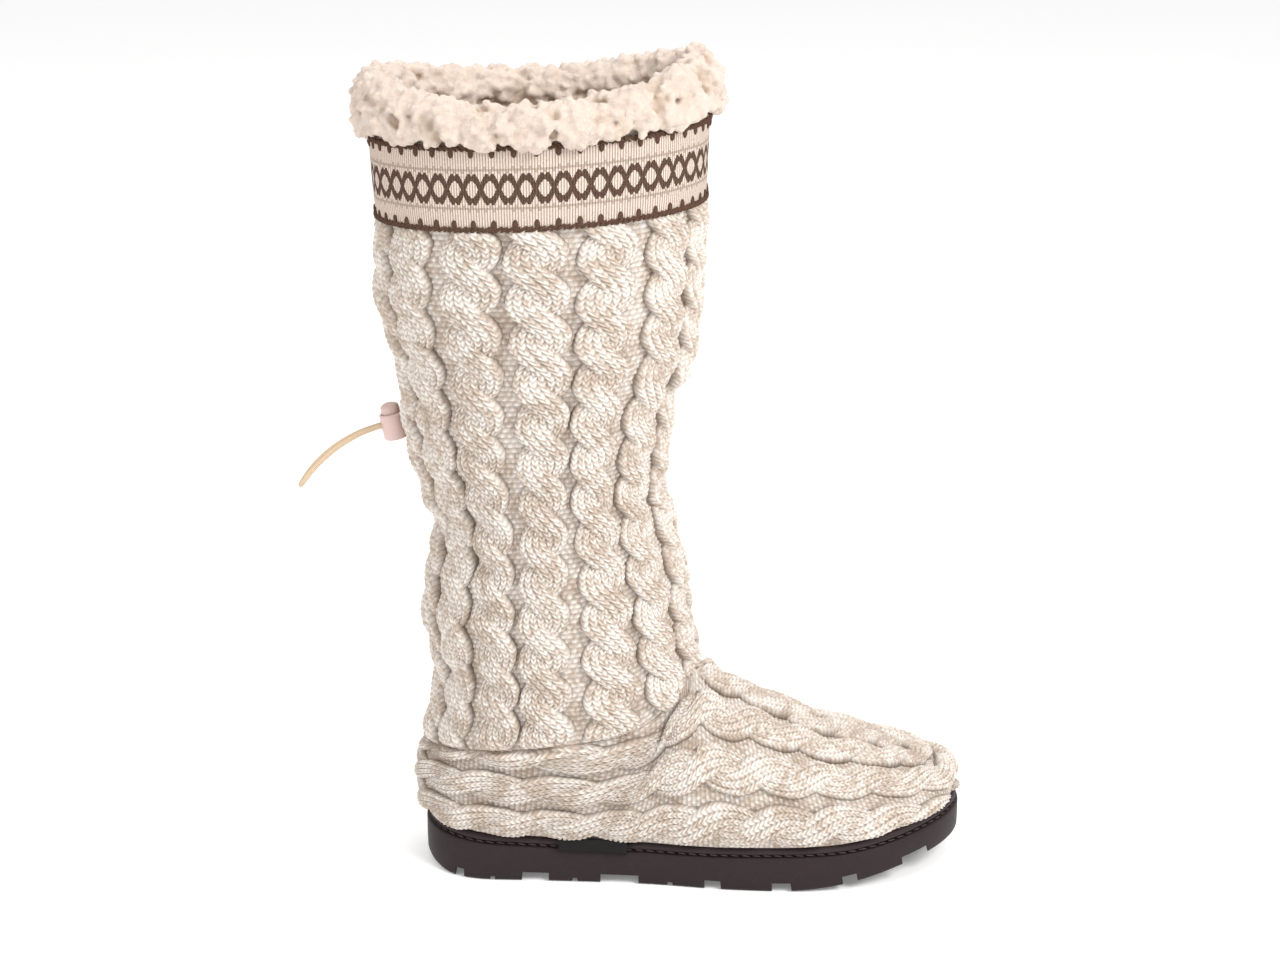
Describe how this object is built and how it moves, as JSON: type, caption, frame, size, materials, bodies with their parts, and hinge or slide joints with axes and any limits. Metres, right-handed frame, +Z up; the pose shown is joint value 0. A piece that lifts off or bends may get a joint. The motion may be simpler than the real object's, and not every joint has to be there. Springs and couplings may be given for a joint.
{
  "type": "mukluk boot",
  "caption": "Tall right-foot mukluk boot with cable-knit foot and shaft, fleece cuff, patterned band, cord lock on an elastic loop and lugged rubber sole.",
  "frame": {"origin": "on the floor under the middle of the heel, on the underside of the heel's middle lug", "axes": "+X to the toe, +Y to the inner (medial) side of this right boot, +Z up the leg"},
  "size_m": [0.3267, 0.1337, 0.4041],
  "materials": {
    "sole_rubber": "matt dark-brown moulded rubber",
    "rand_rubber": "matt dark-brown rubber strip, stitched",
    "insole_fleece": "short beige fleece",
    "knit": "heathered cream-beige cable knit",
    "woven_band": "woven beige band with brown pattern",
    "fleece": "cream tufted fleece",
    "tag_cloth": "black satin ribbon, blank",
    "lock_barrel": "dusty pink-beige moulded plastic",
    "lock_plunger": "beige moulded plastic",
    "cord": "tan braided elastic cord"
  },
  "bodies": {
    "boot": {"outsole": "sole_rubber", "rand": "rand_rubber", "insole": "insole_fleece", "foot_upper": "knit", "shaft": "knit", "band": "woven_band", "cuff": "fleece", "side_tag": "tag_cloth", "cord_lock_barrel": "lock_barrel", "draw_cord": "cord"},
    "plunger": {"cord_lock_plunger": "lock_plunger"}
  },
  "joints": [
    {"name": "plunger_press", "type": "slide", "parent": "boot", "child": "plunger", "axis": [0.2079, 0, -0.9781], "range_m": [0, 0.003], "stiffness_N_per_m": 600, "springref_m": -0.005}
  ]
}
